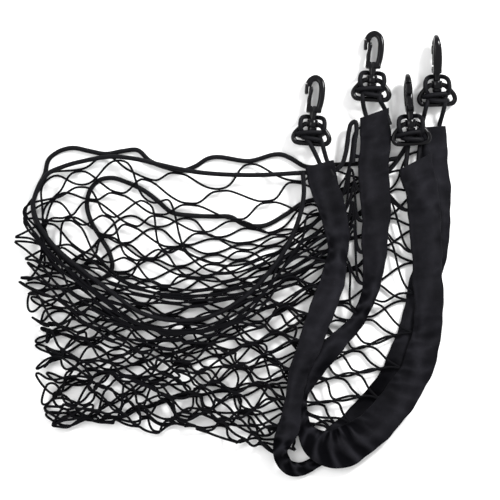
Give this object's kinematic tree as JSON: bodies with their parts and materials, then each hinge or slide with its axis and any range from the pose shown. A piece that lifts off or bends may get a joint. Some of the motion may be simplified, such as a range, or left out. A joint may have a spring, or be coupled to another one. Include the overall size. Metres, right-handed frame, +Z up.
{
  "type": "elastic cargo net",
  "caption": "Black elastic cargo net with fabric sleeves, folded up and laid flat, with swivel snap hooks on bungee loops at the sleeves' ends.",
  "frame": {"origin": "on the surface the net lies on, under the middle of its bounding box", "axes": "+Z up off the surface, +Y towards the hooks' arches along the sleeves, +X towards sleeve A's outer run"},
  "size_m": [0.4395, 0.4441, 0.0248],
  "materials": {
    "sleeve_fabric": "matte woven polyester",
    "elastic_cord": "matte braided cover over rubber strands",
    "net_cord": "matte knitted cord",
    "moulded_plastic": "semi-gloss moulded nylon"
  },
  "bodies": {
    "laid_net": {"sleeve_a": "sleeve_fabric", "sleeve_b": "sleeve_fabric", "edge_cord_1": "elastic_cord", "edge_cord_2": "elastic_cord", "net": "net_cord", "bungee_1": "elastic_cord", "ring_1": "moulded_plastic", "bungee_2": "elastic_cord", "ring_2": "moulded_plastic", "bungee_3": "elastic_cord", "ring_3": "moulded_plastic", "bungee_4": "elastic_cord", "ring_4": "moulded_plastic"},
    "swivel_1": {"hook_1": "moulded_plastic"},
    "sprung_gate_1": {"gate_1": "moulded_plastic"},
    "swivel_2": {"hook_2": "moulded_plastic"},
    "sprung_gate_2": {"gate_2": "moulded_plastic"},
    "swivel_3": {"hook_3": "moulded_plastic"},
    "sprung_gate_3": {"gate_3": "moulded_plastic"},
    "swivel_4": {"hook_4": "moulded_plastic"},
    "sprung_gate_4": {"gate_4": "moulded_plastic"}
  },
  "joints": [
    {"name": "swivel_turn_1", "type": "hinge", "parent": "laid_net", "child": "swivel_1", "pos_m": [0.0758, 0.1373, 0.0091], "axis": [0.0763, 0.9916, -0.1045], "continuous": true},
    {"name": "gate_press_1", "type": "hinge", "parent": "swivel_1", "child": "sprung_gate_1", "pos_m": [0.07141, 0.14412, 0.00842], "axis": [-0.008, -0.1042, -0.9945], "range_deg": [0, 14], "stiffness_Nm_per_rad": 0.02, "springref_deg": -5.73},
    {"name": "swivel_turn_2", "type": "hinge", "parent": "laid_net", "child": "swivel_2", "pos_m": [0.135, 0.1813, 0.0091], "axis": [0.0608, 0.9943, -0.0872], "continuous": true},
    {"name": "gate_press_2", "type": "hinge", "parent": "swivel_2", "child": "sprung_gate_2", "pos_m": [0.1305, 0.18806, 0.00853], "axis": [-0.0053, -0.087, -0.9962], "range_deg": [0, 14], "stiffness_Nm_per_rad": 0.02, "springref_deg": -5.73},
    {"name": "swivel_turn_3", "type": "hinge", "parent": "laid_net", "child": "swivel_3", "pos_m": [0.1721, 0.1375, 0.0143], "axis": [-0.061, 0.9981, 0], "continuous": true},
    {"name": "gate_press_3", "type": "hinge", "parent": "swivel_3", "child": "sprung_gate_3", "pos_m": [0.1717, 0.14399, 0.0192], "axis": [-0.9981, -0.061, 0], "range_deg": [0, 14], "stiffness_Nm_per_rad": 0.02, "springref_deg": -5.73},
    {"name": "swivel_turn_4", "type": "hinge", "parent": "laid_net", "child": "swivel_4", "pos_m": [0.199, 0.1765, 0.0105], "axis": [-0.0259, 0.9899, 0.1392], "continuous": true},
    {"name": "gate_press_4", "type": "hinge", "parent": "swivel_4", "child": "sprung_gate_4", "pos_m": [0.1983, 0.1836, 0.00658], "axis": [0.9938, 0.0406, -0.1035], "range_deg": [0, 14], "stiffness_Nm_per_rad": 0.02, "springref_deg": -5.73}
  ]
}
